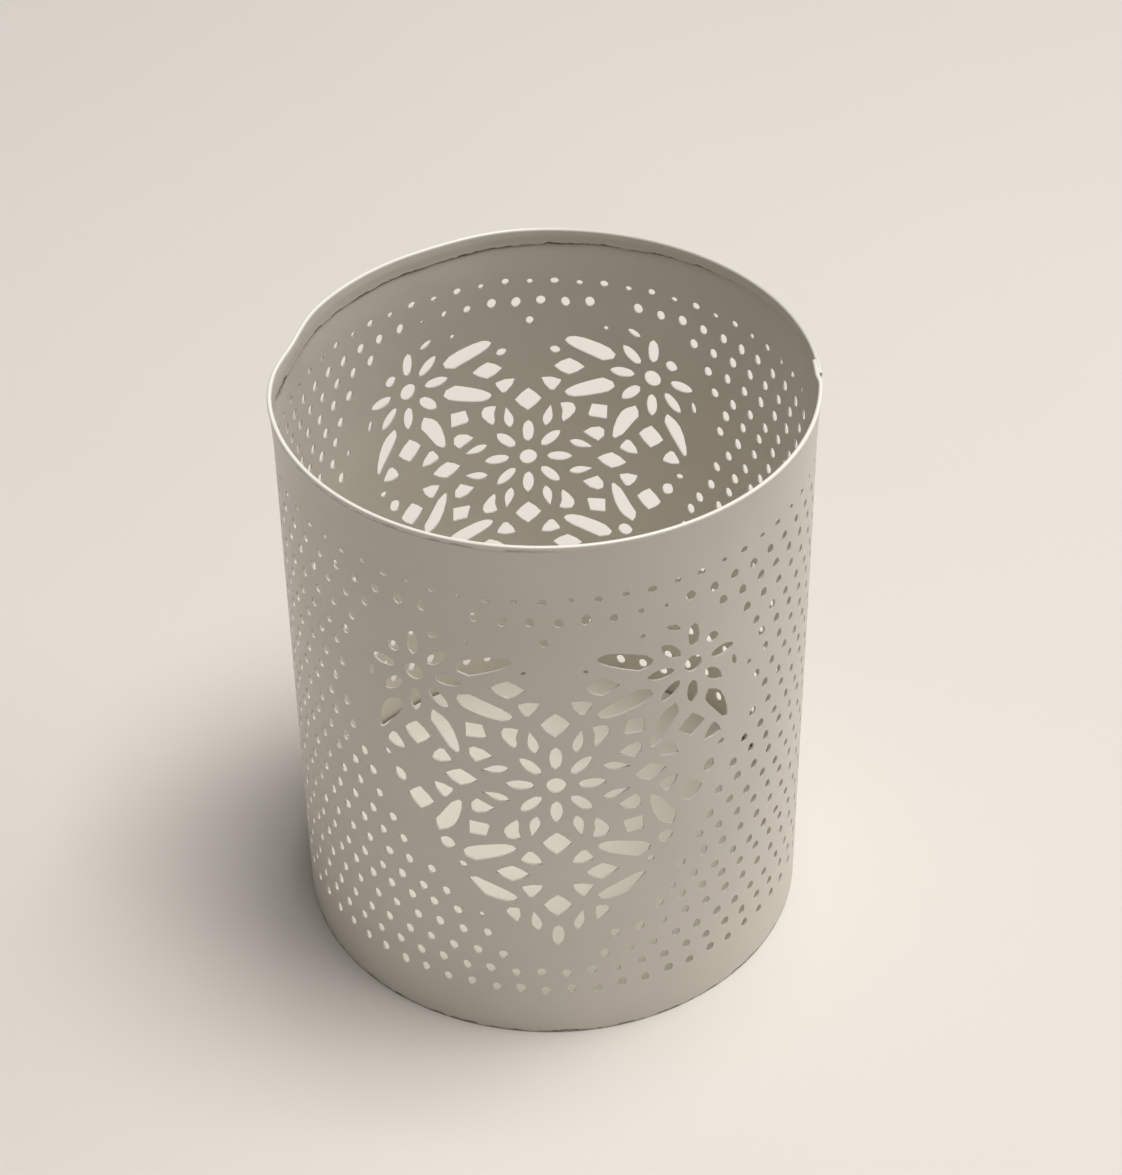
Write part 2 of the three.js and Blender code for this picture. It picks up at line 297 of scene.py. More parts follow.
def edit_edges(obj, chosen):
    """Enters edit mode with only the edges selected whose two end points chosen accepts."""
    edit_mode(obj, kind="EDGE")
    object_mode()
    for edge in obj.data.edges:
        edge.select = chosen(*(obj.data.vertices[i].co for i in edge.vertices))
    bpy.ops.object.mode_set(mode="EDIT")


def apply_modifiers(obj):
    make_active(obj)
    for modifier in list(obj.modifiers):
        if bpy.ops.object.modifier_apply(modifier=modifier.name) != {"FINISHED"}:
            raise RuntimeError(f"{modifier.name} on {obj.name} could not be applied")


def clean_mesh(obj, distance):
    edit_mode(obj, "SELECT")
    bpy.ops.mesh.remove_doubles(threshold=distance)
    bpy.ops.mesh.normals_make_consistent(inside=False)
    object_mode()


def new_mesh_object(name, points, faces):
    mesh = bpy.data.meshes.new(name)
    mesh.from_pydata(points, [], faces)
    mesh.update()
    obj = bpy.data.objects.new(name, mesh)
    bpy.context.scene.collection.objects.link(obj)
    return obj


# Blends

def smoothstep(low, high, value):
    t = max(0.0, min(1.0, (value - low) / (high - low)))
    return t * t * (3 - 2 * t)


def window(start, end, blend, azimuth):
    """One between two azimuths in degrees, fading to zero outside them."""
    turn = azimuth % 360
    return smoothstep(start - blend, start, turn) - smoothstep(end, end + blend, turn)


# Heart and lace outlines, drawn flat with x to the right and y up

MIDDLE_HOLE_RADIUS = 1.5 * MM
PETALS = 8
PETAL_LENGTH = 4.5 * MM
PETAL_WIDTH = 1.9 * MM
PETAL_REACH = 5.45 * MM
DROP_LENGTH = 4.5 * MM
DROP_WIDTH = 1.6 * MM
# How pointed the ends of petals and edge cuts are: the lower, the rounder
INNER_END = 0.36
OUTER_END = 0.68
UPPER_OUTER_END = 0.4
CUT_END = 0.6
# A shape whose middle is this near to an edge cut's is left out
CUT_CLEARANCE = 1.4 * MM
SHORTEST_EDGE = 0.12 * MM


def bezier(start, handle_a, handle_b, end, steps):
    points = []
    for i in range(steps):
        t = i / steps
        s = 1 - t
        near, far = 3 * s * s * t * handle_a, 3 * s * t * t * handle_b
        points.append(s**3 * start + near + far + t**3 * end)
    return points


def heart_outline(lace, steps=14):
    """Counter-clockwise from the tip: out to the side, over the lobe and down into the notch."""
    width, tip, top, notch = lace.half_width, lace.tip, lace.lobe_top, lace.notch
    foot = Vector((0, -tip))
    foot_handle = Vector((width * 0.26, -tip * 0.81))
    flank_handle = Vector((width * 0.92, -tip * 0.285))
    side = Vector((width, top * 0.47))
    side_handle = Vector((width, top * 0.83))
    shoulder_handle = Vector((width * 0.78, top))
    lobe = Vector((width * 0.51, top))
    lobe_handle = Vector((width * 0.25, top))
    dip_handle = Vector((width * 0.12, notch * 1.25))
    dip = Vector((0, notch))
    right = bezier(foot, foot_handle, flank_handle, side, steps)
    right += bezier(side, side_handle, shoulder_handle, lobe, steps)
    right += bezier(lobe, lobe_handle, dip_handle, dip, steps)
    left = [Vector((-p.x, p.y)) for p in reversed(right[1:])]
    return right + [dip] + left


def disc(radius, sides=20):
    turns = [2 * math.pi * i / sides for i in range(sides)]
    return [Vector((radius * math.cos(a), radius * math.sin(a))) for a in turns]


def turned(outline, degrees, x, y):
    rotation = Matrix.Rotation(math.radians(degrees), 2)
    return [rotation @ p + Vector((x, y)) for p in outline]


def mirrored_oval(length, half_height, steps=8):
    """A closed outline from +x to -x and back, its half height given at each share of the way."""
    shares = [i / steps for i in range(steps + 1)]
    upper = [Vector((length * (0.5 - t), half_height(t))) for t in shares]
    lower = [Vector((p.x, -p.y)) for p in reversed(upper[1:-1])]
    return upper + lower


def leaf(length, width, near, far):
    """A long oval with its near end at -x, whose ends are as pointed as near and far say."""
    return mirrored_oval(
        length, lambda t: width / 2 * math.sin(math.pi * t) ** (far + (near - far) * t))


def teardrop(length, width):
    """A drop with its point at +x, widest near its blunt end."""
    return mirrored_oval(length, lambda t: width / 2 * math.sin(math.pi * t**1.4) ** 0.75)


def four_ways(outline):
    signs = ((1, 1), (-1, 1), (-1, -1), (1, -1))
    return [[Vector((p.x * sx, p.y * sy)) for p in outline] for sx, sy in signs]


def rosette():
    """The round hole in the middle and the petals round it, the upper one round at both ends."""
    shapes = [disc(MIDDLE_HOLE_RADIUS)]
    for i in range(PETALS):
        turn = i * 360 // PETALS
        outer = UPPER_OUTER_END if turn == 90 else OUTER_END
        petal = leaf(PETAL_LENGTH, PETAL_WIDTH, INNER_END, outer)
        middle = turned([Vector((PETAL_REACH, 0))], turn, 0, 0)[0]
        shapes.append(turned(petal, turn, middle.x, middle.y))
    return shapes


def in_cell(lace, *pairs):
    """An outline given in hundredths of the lattice's half cell."""
    wide, high = lace.cell_half_width / 100, lace.cell_half_height / 100
    return [Vector((x * wide, y * high)) for x, y in pairs]


def drop_rosette(lace):
    """A rosette inside a ring of drops, pads and squares."""
    drop = teardrop(DROP_LENGTH, DROP_WIDTH)
    steep, flat = in_cell(lace, (15.9, 45.8), (42.8, 14.6))
    upper_pad = in_cell(
        lace, (25.3, 59.5), (30, 60.7), (35.5, 60), (37.7, 55), (37, 49.5),
        (32.3, 42.5), (27.9, 38.6), (26.7, 43), (27.3, 51))
    side_pad = in_cell(
        lace, (43.5, 28), (50, 34.2), (57, 36.2), (61, 33.5), (61, 26.2), (56.3, 19.8), (49.5, 24))
    square = in_cell(lace, (47.8, 48.2), (49.3, 46.6), (62.9, 45.6), (63.1, 60.8), (50.7, 60.9))
    smooth = rosette() + four_ways(turned(drop, 79, *steep)) + four_ways(turned(drop, -14, *flat))
    return smooth, four_ways(upper_pad) + four_ways(side_pad) + four_ways(square)


def lozenge_rosette(lace):
    """A rosette inside a ring of long lozenges."""
    flat = in_cell(
        lace, (71.5, 28.5), (68.5, 32), (63.5, 33), (55.5, 31.5), (43.5, 27.3), (36, 23.7),
        (31, 17.7), (33, 12), (41, 9.2), (53.5, 15), (63, 20), (69, 24.5))
    steep = in_cell(
        lace, (32.3, 73), (31.7, 64), (29, 52.5), (25.2, 43.5), (21.2, 38.8), (13.7, 34),
        (11.3, 39.5), (11, 45.8), (15.2, 52.5), (19.6, 61), (24.3, 69.5), (30, 74.5))
    return rosette(), four_ways(flat) + four_ways(steep)


def open_cross(lace):
    """Four diamonds and four triangles round a plain middle."""
    side = in_cell(
        lace, (19.9, 0), (25.8, -5.6), (32.4, -9.1), (39.4, -5.1),
        (44.9, 0), (39.4, 5.1), (32.4, 9.1), (25.8, 5.6))
    top = in_cell(
        lace, (-10.8, 35.6), (-6, 28.9), (0, 23.2), (6, 28.9),
        (10.8, 35.6), (6, 42.4), (0, 48), (-6, 42.4))
    corner = in_cell(
        lace, (10.4, 12), (18.5, 11.7), (26, 14.6), (25.2, 18.8),
        (20.6, 26.3), (17.3, 26), (12.6, 19.5))
    diamonds = [side, top, [-p for p in side], [-p for p in top]]
    return [], diamonds + four_ways(corner)


def edge_cuts(lace, notch_share):
    """Small cuts along the heart's outline, in pairs.

    A row holds a cut's place in shares of the half width, its length and width in
    millimetres and its lean in degrees.
    """
    cuts = (
        (0.602, 0.900, 2.6, 1.1, -28),
        (0.438, 0.903, 0.8, 0.8, 0),
        (0.152, 0.738, 1.9 * notch_share, 1.4 * notch_share, -22),
        (0.832, 0.742, 2.25, 2.0, 0),
        (0.985, 0.515, 2.2, 0.9, -75),
        (0.910, 0.007, 1.5, 1.0, 30),
        (0.835, -0.110, 2.7, 2.0, 60),
        (0.577, -0.482, 2.7, 2.4, 10),
        (0.495, -0.612, 1.5, 1.2, 40),
    )
    shapes = []
    for x, y, length, width, lean in cuts:
        oval = leaf(length * MM, width * MM, CUT_END, CUT_END)
        right = turned(oval, lean, x * lace.half_width, y * lace.half_width)
        left = [Vector((-p.x, p.y)) for p in right]
        shapes += [right, left]
    return shapes


def signed_area(outline):
    total = 0.0
    for here, there in zip(outline, outline[1:] + outline[:1]):
        total += here.x * there.y - there.x * here.y
    return total / 2


def clipped(subject, clip):
    """The part of subject inside the convex outline clip."""
    edges = clip if signed_area(clip) > 0 else clip[::-1]
    result = subject
    for start, end in zip(edges, edges[1:] + edges[:1]):
        run = end - start
        kept = []
        for point, following in zip(result, result[1:] + result[:1]):
            here = run.x * (point.y - start.y) - run.y * (point.x - start.x)
            there = run.x * (following.y - start.y) - run.y * (following.x - start.x)
            if here >= 0:
                kept.append(point)
            if here * there < 0:
                kept.append(point.lerp(following, here / (here - there)))
        result = kept
        if not result:
            break
    return result


def thinned(outline, gap):
    """Drops points that stand nearly on the one before."""
    kept = []
    for point in outline:
        if not kept or (point - kept[-1]).length > gap:
            kept.append(point)
    while len(kept) > 1 and (kept[0] - kept[-1]).length <= gap:
        kept.pop()
    return kept


def is_inside(point, outline):
    """Whether a line from the point to +x crosses the outline an odd number of times."""
    inside = False
    for start, end in zip(outline, outline[1:] + outline[:1]):
        run = end - start
        if (start.y > point.y) != (end.y > point.y):
            if point.x < start.x + run.x * (point.y - start.y) / run.y:
                inside = not inside
    return inside


def centre(outline):
    return sum(outline, Vector((0, 0))) / len(outline)


def part_in_heart(shape, heart, cuts, lace):
    """What the heart leaves of a shape on its edge, or None beside a cut or if it is too little."""
    if any((centre(cut) - centre(shape)).length < CUT_CLEARANCE for cut in cuts):
        return None
    inside = thinned(clipped(heart, shape), SHORTEST_EDGE)
    smallest = lace.smallest_share * abs(signed_area(shape))
    return inside if len(inside) > 2 and abs(signed_area(inside)) > smallest else None


def lace_outlines(lace, notch_share):
    """Smooth and cornered cut-outs of one heart, about its middle rosette."""
    heart = heart_outline(lace)
    cuts = edge_cuts(lace, notch_share)
    places = (
        (drop_rosette(lace), ((0, 0), (0, -2), (0, 2), (2, 0), (-2, 0))),
        (lozenge_rosette(lace), ((1, 1), (-1, 1), (1, -1), (-1, -1))),
        (open_cross(lace), ((1, 0), (-1, 0), (0, 1), (0, -1))),
    )
    smooth, cornered = list(cuts), []
    for (smooth_shapes, cornered_shapes), cells in places:
        for column, row in cells:
            place = Vector((column * lace.cell_half_width, row * lace.cell_half_height))
            for shapes, kept in ((smooth_shapes, smooth), (cornered_shapes, cornered)):
                for shape in shapes:
                    moved = [p + place for p in shape]
                    if all(is_inside(p, heart) for p in moved):
                        kept.append(moved)
                        continue
                    part = part_in_heart(moved, heart, cuts, lace)
                    if part:
                        cornered.append(part)
    return smooth, cornered


# Cutters that pierce the flat sheet

def outer_end_azimuth(sleeve):
    """Where the sheet's outer end lies, in degrees from +X."""
    return sleeve.lap_azimuth - math.degrees(sleeve.lap / sleeve.radius) / 2


def along_sheet(azimuth, sleeve):
    """How far along the flat sheet a place at this azimuth lies, from the sheet's outer end."""
    return math.radians((azimuth - outer_end_azimuth(sleeve)) % 360) * sleeve.radius


def flat_faces(name, outlines, depth):
    """Outlines drawn as faces this far under the sheet, to be extruded up through it."""
    points, faces = [], []
    for outline in outlines:
        first = len(points)
        ordered = outline if signed_area(outline) > 0 else outline[::-1]
        points += [(p.x, p.y, -depth) for p in ordered]
        faces.append(tuple(range(first, first + len(ordered))))
    return new_mesh_object(name, points, faces)


def extrude_up(obj, depth):
    """Turns flat faces into cutters that reach as far over the sheet as under it."""
    edit_mode(obj, "SELECT", "FACE")
    bpy.ops.mesh.extrude_region_move(TRANSFORM_OT_translate={"value": (0, 0, 2 * depth)})
    bpy.ops.mesh.select_all(action="SELECT")
    bpy.ops.mesh.normals_make_consistent(inside=False)
    object_mode()


def placed(outlines, x, height, lean):
    """Outlines about a heart's middle, moved to their place on the sheet and leant to the left."""
    return [[Vector((x + p.x - lean * p.y, height + p.y)) for p in outline] for outline in outlines]


def lace_cutters(sleeve, lace):
    depth = 2 * sleeve.thickness
    smooth_all, cornered_all = [], []
    hearts = (
        (lace.front_azimuth, lace.front_height, 0.0, lace.front_notch_share),
        (lace.back_azimuth, lace.back_height, lace.back_lean, 1.0))
    for azimuth, height, lean, notch_share in hearts:
        smooth, cornered = lace_outlines(lace, notch_share)
        x = along_sheet(azimuth, sleeve)
        smooth_all += placed(smooth, x, height, lean)
        cornered_all += placed(cornered, x, height, lean)
    round_cutters = flat_faces("round_cutters", smooth_all, depth)
    corner_cutters = flat_faces("corner_cutters", cornered_all, depth)
    edit_mode(corner_cutters, "SELECT")
    bpy.ops.mesh.bevel(
        offset=lace.corner_radius, segments=3, profile=0.5, affect="VERTICES", clamp_overlap=True)
    object_mode()
    for cutter in (round_cutters, corner_cutters):
        extrude_up(cutter, depth)
    return [round_cutters, corner_cutters]


# One hand drawing of dots, repeated round the sleeve. A row holds its height over the front
# heart's middle, how far its dots stand to the right of the columns, the last column left of a
# heart, the first one right of it, and how far its even dots stand up and its odd ones down.
# The lengths are in millimetres.
DOT_ROWS = (
    (35.50, 2.40, 0, 1, 0.10),
    (31.65, 0.65, -5, -3, -0.10),
    (28.00, 2.50, -8, 6, 0.15),
    (24.10, 3.50, -9, 7, 0.15),
    (20.10, 1.90, -9, 8, -0.15),
    (16.70, 3.45, -10, 8, 0.15),
    (12.90, 0.40, -9, 9, -0.15),
    (8.90, 2.50, -10, 8, 0.15),
    (5.40, 0.80, -9, 9, -0.15),
    (1.60, 1.90, -9, 8, 0.15),
    (-2.40, 0.05, -8, 8, -0.15),
    (-5.80, 1.80, -8, 7, 0.15),
    (-9.70, 2.80, -8, 6, -0.15),
    (-13.75, 1.20, -7, 6, -0.22),
    (-17.35, 3.10, -7, 5, -0.10),
    (-21.30, 0.00, -5, 5, 0.13),
    (-25.50, 2.40, -5, 4, -0.25),
    (-28.65, 0.10, -4, 4, -0.12),
    (-32.60, 0.95, -3, 2, -0.15),
    (-36.80, 3.30, -3, 1, 0.15),
    (-40.45, 1.25, 0, 1, -0.15),
    (-44.30, 2.05, 0, 1, 0.15),
)
# Dots in or beside a row's gap, by row and column: their size over a full dot's, 0 for none
SMALL_DOTS = {
    (1, 2): 0.75, (1, 3): 0.6, (1, 4): 0.35, (6, 8): 0.6, (17, -3): 0.55,
    (2, -1): 0.85, (1, -4): 0.0,
}
# Columns from one side of the seam round to the other, counted from the front heart's middle
DOT_COLUMNS = range(-48, 18)
# Sizes of the top row's even and odd dots over a full dot's, and how flat they are
TOP_ROW_SIZES = (0.66, 0.88)
TOP_ROW_STRETCH = 0.72
# How far a dot slips from its place, in millimetres, and how its size and roundness vary
PLACE_SEED = 7
SHAPE_SEED = 11
DOT_SLIP = 0.08
DOT_SIZES = (0.94, 1.06)
DOT_OVAL = 0.09
# Where the dots beside the back heart lean and stand low: start, end and blend in degrees
LEANING_DOTS = (20, 100, 35)
LOW_DOTS = (10, 85, 20)


def dot_places(sleeve, lace):
    """Place and size of every dot on the flat sheet."""
    draw = random.Random(PLACE_SEED)
    front = along_sheet(lace.front_azimuth, sleeve)
    repeat = lace.columns * lace.column_pitch
    seam = sleeve.lap / 2
    turn = 2 * math.pi * sleeve.radius
    half_columns = lace.columns // 2
    places = []
    for row, (height, shift, left, right, step) in enumerate(DOT_ROWS):
        for column in DOT_COLUMNS:
            drawn_column = (column + half_columns) % lace.columns - half_columns
            if left < drawn_column < right and (row, drawn_column) not in SMALL_DOTS:
                continue
            size = 0.5 * lace.dot_diameter * SMALL_DOTS.get((row, drawn_column), 1.0)
            tall = lace.dot_stretch
            if row == 0:
                size *= TOP_ROW_SIZES[column % 2]
                tall *= TOP_ROW_STRETCH
            along = shift * MM + column * lace.column_pitch
            x = front + along - lace.stretch * math.sin(math.pi * along / repeat)
            back_share = 0.5 - 0.5 * math.cos(2 * math.pi * along / turn)
            azimuth = lace.front_azimuth + math.degrees(along / sleeve.radius)
            x -= lace.back_lean * height * MM * window(*LEANING_DOTS, azimuth)
            y = lace.front_height + lace.back_rise * back_share
            y -= lace.back_drop * window(*LOW_DOTS, azimuth)
            y += (height + (step if drawn_column % 2 == 0 else -step)) * MM
            x += draw.uniform(-DOT_SLIP, DOT_SLIP) * MM
            y += draw.uniform(-DOT_SLIP, DOT_SLIP) * MM
            if size and seam + lace.seam_margin < x < turn + seam - lace.seam_margin:
                places.append((x, y, size * draw.uniform(*DOT_SIZES), tall))
    return places


def dot_cutter(sleeve, lace, sides=12):
    """One cylinder, copied to every dot, each copy a little oval in its own way."""
    deselect_all()
    depth = 2 * sleeve.thickness
    bpy.ops.mesh.primitive_cylinder_add(vertices=sides, radius=1.0, depth=2 * depth)
    pattern = bpy.context.object
    corners = [v.co.copy() for v in pattern.data.vertices]
    rings = [tuple(p.vertices) for p in pattern.data.polygons]
    draw = random.Random(SHAPE_SEED)
    points, faces = [], []
    for x, y, size, tall in dot_places(sleeve, lace):
        first = len(points)
        lean = draw.uniform(0, math.pi)
        stretch = draw.uniform(0.0, DOT_OVAL)
        for corner in corners:
            angle = math.atan2(corner.y, corner.x)
            reach = size * (1 + stretch * math.cos(2 * (angle - lean)))
            points.append((x + reach * corner.x, y + tall * reach * corner.y, corner.z))
        faces += [tuple(first + i for i in ring) for ring in rings]
    bpy.data.objects.remove(pattern)
    return new_mesh_object("dot_cutters", points, faces)


# Sleeve

SHEET_COLUMNS = 264
WALL_ROWS = 26
FLARE_ROWS = 6
BEAD_ROWS = 5
FOLD_ROWS = 8
HEM_ROWS = 5
LAP_GAP = 0.15 * MM
# The higher, the more of the flare lies near the rim
FLARE_CURVE = 1.5
# Share of its height over which the bead is full, and how much of the fold's turn it fades over
BEAD_CROWN = 0.4
BEAD_FADES = 3.2
# Share of its thickness that the pressed hem loses at its lower edge
HEM_PRESS = 0.6
# Between which azimuths in degrees the rim's dent and pinch begin and end, and how far down they go
DENT_BEGINS = (95, 120)
DENT_ENDS = (164, 190)
DENT_HEIGHT = 32 * MM
PINCH_BEGINS = (150, 165)
PINCH_ENDS = (165, 179)
PINCH_HEIGHT = 11 * MM
# Waves pressed into the wall and bites out of its foot: the higher WAVES and BITES are, the
# closer these follow each other
WAVES = 2.2
WAVE_DEPTH = 0.04 * MM
WAVE_HEIGHT = 34 * MM
BITES = 7
BITE_HEIGHT = 8 * MM
# Where a dark line is painted along the foot, the bead and the hem: start, end and blend in
# degrees.
# At the foot it is painted contact shadow and dirt, under the bead painted shade, under the hem's
# edge painted shade and dirt
DARK_FOOT_SPAN = (195, 330, 20)
DARK_BEAD_SPAN = (185, 262, 15)
DARK_HEM_SPAN = (58, 178, 20)
WIDE_HEM_LINE = (173, 176, 4)
# How strong the dark line is, how far from the edge it fades, the foot line's height in
# millimetres, the bead line's share of the bead's height and how much wider the widest part of the
# hem line is
FOOT_DARKENING = 0.8
BEAD_DARKENING = 0.5
FOOT_LINE_FADES = (4 * MM, 14 * MM)
BEAD_LINE_FADES = (10 * MM, 20 * MM)
FOOT_LINE = 0.3
BEAD_LINE = 0.9
HEM_LINE_SPREAD = 2.5
# Where the rim's painted highlight, a paler colour along its top, is weaker and by how much, and
# how far down it fades
DIMMER_RIM = (15, 75, 25)
SPARED_HIGHLIGHT = 0.7
HIGHLIGHT_FADES = (0.03 * MM, 0.17 * MM)
# Inputs of the paint and the point attributes that feed them
EDGE_ATTRIBUTES = {"Below edge": "below_edge", "Grime and shade": "grime_and_shade", "Rim highlight": "rim_highlight"}
SLEEVE_MERGE = 0.008 * MM


def fold_radius(sleeve):
    """Radius of the fold at the outer face of the sheet."""
    return sleeve.thickness + sleeve.hem_slit / 2


def middle_radius(sleeve):
    """Radius of the fold at the middle of the sheet, which bending leaves at its length."""
    return fold_radius(sleeve) - sleeve.thickness / 2


def fold_start(sleeve):
    """Height at which the wall ends and the fold starts."""
    return sleeve.height - fold_radius(sleeve)


def flat_sheet(sleeve):
    """The blank before piercing: wall, fold and hem in one flat sheet, x along and y up."""
    length = 2 * math.pi * sleeve.radius + sleeve.lap
    flare_foot = sleeve.height - sleeve.flare_height
    bead_foot = sleeve.height - sleeve.bead_height
    deselect_all()
    bpy.ops.mesh.primitive_grid_add(
        x_subdivisions=SHEET_COLUMNS, y_subdivisions=WALL_ROWS, size=1.0, location=(0.5, 0.5, 0))
    sheet = bpy.context.object
    make_active(sheet)
    bpy.ops.object.transform_apply(location=True, rotation=False, scale=False)
    sheet.scale = (length, flare_foot, 1.0)
    bpy.ops.object.transform_apply(location=False, rotation=False, scale=True)
    flare_step = (bead_foot - flare_foot) / FLARE_ROWS
    bead_step = (fold_start(sleeve) - bead_foot) / BEAD_ROWS
    fold_step = math.pi * middle_radius(sleeve) / FOLD_ROWS
    hem_step = (sleeve.hem_depth - BEAD_ROWS * bead_step) / HEM_ROWS
    steps = [flare_step] * FLARE_ROWS + [bead_step] * BEAD_ROWS + [fold_step] * FOLD_ROWS
    steps += [bead_step] * BEAD_ROWS + [hem_step] * HEM_ROWS
    edit_edges(sheet, lambda a, b: min(a.y, b.y) > flare_foot - SAME_PLACE)
    for step in steps:
        bpy.ops.mesh.extrude_region_move(TRANSFORM_OT_translate={"value": (0, step, 0)})
    bpy.ops.mesh.select_all(action="SELECT")
    bpy.ops.mesh.normals_make_consistent(inside=False)
    object_mode()
    thicken = sheet.modifiers.new("gauge", "SOLIDIFY")
    thicken.thickness = sleeve.thickness
    thicken.offset = -1.0 if sheet.data.polygons[0].normal.z > 0 else 1.0
    apply_modifiers(sheet)
    return sheet


def hem_length(azimuth, sleeve):
    """Depth of the hem below the rim, with its slightly ragged lower edge."""
    turn = math.radians(azimuth)
    swing = sleeve.hem_swing * math.cos(turn - math.radians(sleeve.hem_shallow_azimuth))
    around = Vector((math.cos(turn), math.sin(turn), 0.3))
    fine, coarse = 0.12 * noise(26 * around), 0.22 * noise(7 * around)
    return sleeve.hem_depth - swing + (fine + coarse) * MM


def fold_hem(point, azimuth, sleeve):
    """Takes a point of the flat blank to its offset outwards and its height in the folded sheet."""
    depth, up = point.z, point.y
    start = fold_start(sleeve)
    end = start + math.pi * middle_radius(sleeve)
    middle = -fold_radius(sleeve)
    reach = fold_radius(sleeve) + depth
    if up <= start:
        return depth, up
    if up <= end:
        turn = (up - start) / middle_radius(sleeve)
        return middle + reach * math.cos(turn), start + reach * math.sin(turn)
    share = (up - end) / sleeve.hem_depth
    drop = share * (hem_length(azimuth, sleeve) - (sleeve.height - start))
    pressed = HEM_PRESS * smoothstep(0.3, 1.0, share) * (sleeve.thickness + depth)
    return middle - reach + pressed, start - drop


def rim_push(azimuth, height, sleeve):
    """How far the wall is pushed in by the dent that runs down from the rim, and by its pinch."""
    turn = azimuth % 360
    down = sleeve.height - height
    dent = smoothstep(*DENT_BEGINS, turn) - smoothstep(*DENT_ENDS, turn)
    pinch = smoothstep(*PINCH_BEGINS, turn) - smoothstep(*PINCH_ENDS, turn)
    dented = sleeve.dent * dent * (1 - smoothstep(0, DENT_HEIGHT, down))
    pinched = sleeve.pinch * pinch * (1 - smoothstep(0, PINCH_HEIGHT, down))
    return dented + pinched


def crease(flat, azimuth, down, sleeve):
    """Distance past the edge of the foot, bead or hem in millimetres, and how strong the dark line
    there is: painted contact shadow and dirt at the foot, painted shade under the bead, painted
    shade and dirt under the hem.
    """
    outside = flat.z > -0.5 * sleeve.thickness and flat.y < fold_start(sleeve)
    if outside and flat.y < 0.5 * sleeve.height:
        near_foot = 1 - smoothstep(*FOOT_LINE_FADES, flat.y)
        return FOOT_LINE - flat.y / MM, FOOT_DARKENING * near_foot * window(*DARK_FOOT_SPAN, azimuth)
    if outside:
        near_rim = 1 - smoothstep(*BEAD_LINE_FADES, down)
        past_bead = (down - BEAD_LINE * sleeve.bead_height) / MM
        return past_bead, BEAD_DARKENING * near_rim * window(*DARK_BEAD_SPAN, azimuth)
    spread = 1 + HEM_LINE_SPREAD * window(*WIDE_HEM_LINE, azimuth)
    past_hem = (down - hem_length(azimuth, sleeve)) / (spread * MM)
    return past_hem, window(*DARK_HEM_SPAN, azimuth)


def bead_push(flat, down, sleeve):
    """How far the bead stands out: its outside bulges, the hem's inside stays straight."""
    start = fold_start(sleeve)
    inward = smoothstep(start, start + BEAD_FADES * middle_radius(sleeve), flat.y)
    below = smoothstep(BEAD_CROWN * sleeve.bead_height, sleeve.bead_height, down)
    return sleeve.bead * (1 - inward) * (1 - below)


def wall_wave(angle, height):
    """How far the wall's waves press it in here."""
    around = Vector((WAVES * math.cos(angle), WAVES * math.sin(angle), height / WAVE_HEIGHT))
    return WAVE_DEPTH * (1 + noise(around))


def foot_bite(angle, height, sleeve):
    """How far the uneven lower edge rises here."""
    bite = noise(Vector((BITES * math.cos(angle), BITES * math.sin(angle), 1.7)))
    return sleeve.foot_lift * max(0.0, bite) * (1 - smoothstep(0, BITE_HEIGHT, height))


def roll_sheet(sheet, sleeve):
    """Folds the hem and rolls the sheet round Z, its inner end stepping in under the outer end.

    Each point also learns how far past an edge it lies, how dark the painted shade and dirt line is
    there, and how strong the rim's painted highlight is.
    """
    below_edge, grime_and_shade, rim_highlight = (
        sheet.data.attributes.new(name, "FLOAT", "POINT") for name in EDGE_ATTRIBUTES.values())
    outer_end = outer_end_azimuth(sleeve)
    turn = 2 * math.pi * sleeve.radius
    tuck = sleeve.thickness + LAP_GAP
    for i, vertex in enumerate(sheet.data.vertices):
        along = vertex.co.x
        azimuth = outer_end + math.degrees(along / sleeve.radius)
        offset, height = fold_hem(vertex.co, azimuth, sleeve)
        down = sleeve.height - height
        below_edge.data[i].value, grime_and_shade.data[i].value = crease(vertex.co, azimuth, down, sleeve)
        # Painted highlight: paler paint along the rim's top, where the light falls strongest,
        # weaker over part of the rim
        highlit = 1 - SPARED_HIGHLIGHT * window(*DIMMER_RIM, azimuth)
        rim_highlight.data[i].value = highlit * (1 - smoothstep(*HIGHLIGHT_FADES, down))
        offset += sleeve.flare * max(0.0, 1 - down / sleeve.flare_height) ** FLARE_CURVE
        offset += bead_push(vertex.co, down, sleeve)
        offset -= tuck * smoothstep(turn - sleeve.joggle, turn, along)
        offset -= rim_push(azimuth, height, sleeve)
        angle = math.radians(azimuth)
        offset -= wall_wave(angle, height)
        height += foot_bite(angle, height, sleeve)
        reach = sleeve.radius + offset
        vertex.co = Vector((reach * math.cos(angle), reach * math.sin(angle), height))


def pierce(sheet, cutters):
    for cutter in cutters:
        cut = sheet.modifiers.new("pierce", "BOOLEAN")
        cut.operation = "DIFFERENCE"
        cut.object = cutter
        cut.solver = "MANIFOLD"
    apply_modifiers(sheet)
    for cutter in cutters:
        bpy.data.objects.remove(cutter)


def finish_piece(obj, name, node):
    obj.name = name
    obj.data.name = name
    make_active(obj)
    bpy.ops.object.shade_smooth_by_angle(angle=SMOOTH_ANGLE)
    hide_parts(node)
    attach(obj, ROOT_BODY)


